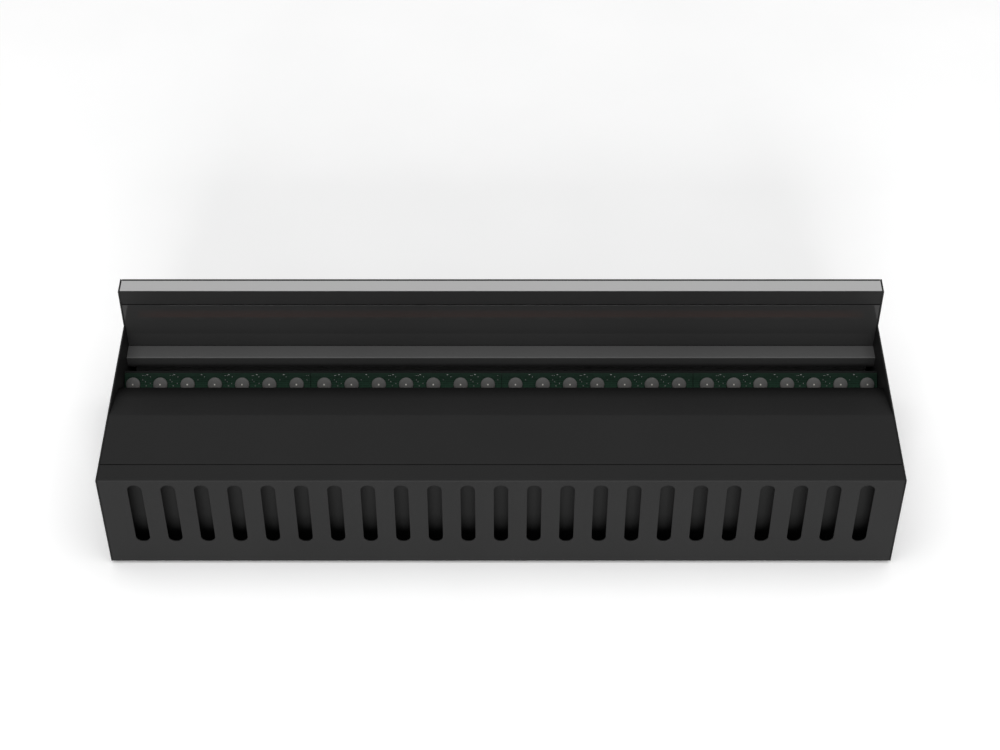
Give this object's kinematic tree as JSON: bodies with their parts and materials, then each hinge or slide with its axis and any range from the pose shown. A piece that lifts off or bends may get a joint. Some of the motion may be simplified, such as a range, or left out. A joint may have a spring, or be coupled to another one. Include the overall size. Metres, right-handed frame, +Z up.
{
  "type": "electric fireplace",
  "caption": "Linear water-vapour electric fireplace insert: slotted black steel front, hinged service lid, LED row beside a mist slot, dark glass riser.",
  "frame": {"origin": "centre of the footprint, on the surface that the rubber feet stand on", "axes": "+X along the length, to the right when seen from the front; -Y towards the slotted front; +Z up"},
  "size_m": [0.8, 0.241, 0.175],
  "materials": {
    "black_steel": "fine-textured satin powder coat",
    "inner_steel": "matt powder coat",
    "grey_rail": "satin dark grey",
    "black_glass": "black-backed glass, polished",
    "trim_aluminium": "satin anodised",
    "amber_acrylic": "satin translucent amber",
    "circuit_board": "green solder mask",
    "chamber_plastic": "moulded black plastic",
    "black_plastic": "fine moulded texture",
    "tank_plastic": "frosted natural polypropylene",
    "white_plastic": "moulded",
    "red_plastic": "satin moulded",
    "silicone": "matt silicone",
    "ceramic": "matt",
    "fan_plastic": "moulded",
    "zinc_steel": "zinc plated",
    "rubber": "matt"
  },
  "bodies": {
    "casing": {"base_tray": "inner_steel", "left_end_plate": "black_steel", "right_end_plate": "black_steel", "slotted_front_cover": "black_steel", "inner_front_wall": "inner_steel", "rear_panel": "black_steel", "upper_back_panel": "black_steel", "top_trim": "trim_aluminium", "back_glass": "black_glass", "rear_lip_rail": "grey_rail", "led_bracket": "inner_steel", "glow_strip": "amber_acrylic", "led_board_1": "circuit_board", "led_board_2": "circuit_board", "led_board_3": "circuit_board", "led_board_4": "circuit_board", "mist_chamber": "chamber_plastic", "ultrasonic_module_1": "ceramic", "ultrasonic_module_2": "ceramic", "ultrasonic_module_3": "ceramic", "ultrasonic_module_4": "ceramic", "ultrasonic_module_5": "ceramic", "float_stem": "white_plastic", "water_tank": "tank_plastic", "feed_pipe": "silicone", "fan_frame_1": "fan_plastic", "fan_frame_2": "fan_plastic", "fan_frame_3": "fan_plastic", "power_supply": "zinc_steel", "control_board": "circuit_board", "mains_inlet": "black_plastic", "switch_body": "black_plastic", "button_board": "circuit_board", "foot_1": "rubber", "foot_2": "rubber", "foot_3": "rubber", "foot_4": "rubber", "left_plate_screw_1": "zinc_steel", "left_plate_screw_2": "zinc_steel", "left_plate_screw_3": "zinc_steel", "right_plate_screw_1": "zinc_steel", "right_plate_screw_2": "zinc_steel", "right_plate_screw_3": "zinc_steel", "rear_panel_screw_1": "zinc_steel", "rear_panel_screw_2": "zinc_steel", "rear_panel_screw_3": "zinc_steel", "rear_panel_screw_4": "zinc_steel"},
    "service_lid": {"service_lid": "black_steel"},
    "tank_cap": {"tank_cap": "black_plastic"},
    "level_float": {"level_float": "white_plastic"},
    "drain_plug": {"drain_plug": "red_plastic"},
    "power_rocker": {"power_rocker": "red_plastic"},
    "fan_rotor_1": {"fan_rotor_1": "fan_plastic"},
    "fan_rotor_2": {"fan_rotor_2": "fan_plastic"},
    "fan_rotor_3": {"fan_rotor_3": "fan_plastic"},
    "control_button_1": {"control_button_1": "black_plastic"},
    "control_button_2": {"control_button_2": "black_plastic"},
    "control_button_3": {"control_button_3": "black_plastic"},
    "control_button_4": {"control_button_4": "black_plastic"}
  },
  "joints": [
    {"name": "lid_hinge", "type": "hinge", "parent": "casing", "child": "service_lid", "pos_m": [0, -0.0881, 0.1215], "axis": [1, 0, 0], "range_deg": [0, 100]},
    {"name": "tank_cap_turn", "type": "hinge", "parent": "casing", "child": "tank_cap", "pos_m": [-0.23, -0.0535, 0.112], "axis": [0, 0, 1], "range_deg": [0, 90]},
    {"name": "float_rise", "type": "slide", "parent": "casing", "child": "level_float", "axis": [0, 0, 1], "range_m": [0, 0.03]},
    {"name": "drain_plug_turn", "type": "hinge", "parent": "casing", "child": "drain_plug", "pos_m": [-0.34, 0.1155, 0.024], "axis": [0, 1, 0], "range_deg": [0, 90]},
    {"name": "power_rocker_tilt", "type": "hinge", "parent": "casing", "child": "power_rocker", "pos_m": [0.3958, -0.0565, 0.066], "axis": [0, 0, 1], "range_deg": [0, 19.5]},
    {"name": "fan_spin_1", "type": "hinge", "parent": "casing", "child": "fan_rotor_1", "pos_m": [-0.09, -0.0315, 0.064], "axis": [0, 1, 0], "continuous": true},
    {"name": "fan_spin_2", "type": "hinge", "parent": "casing", "child": "fan_rotor_2", "pos_m": [0.01, -0.0315, 0.064], "axis": [0, 1, 0], "continuous": true},
    {"name": "fan_spin_3", "type": "hinge", "parent": "casing", "child": "fan_rotor_3", "pos_m": [0.11, -0.0315, 0.064], "axis": [0, 1, 0], "continuous": true},
    {"name": "button_press_1", "type": "slide", "parent": "casing", "child": "control_button_1", "axis": [-1, 0, 0], "range_m": [0, 0.0015], "stiffness_N_per_m": 800},
    {"name": "button_press_2", "type": "slide", "parent": "casing", "child": "control_button_2", "axis": [-1, 0, 0], "range_m": [0, 0.0015], "stiffness_N_per_m": 800},
    {"name": "button_press_3", "type": "slide", "parent": "casing", "child": "control_button_3", "axis": [-1, 0, 0], "range_m": [0, 0.0015], "stiffness_N_per_m": 800},
    {"name": "button_press_4", "type": "slide", "parent": "casing", "child": "control_button_4", "axis": [-1, 0, 0], "range_m": [0, 0.0015], "stiffness_N_per_m": 800}
  ]
}
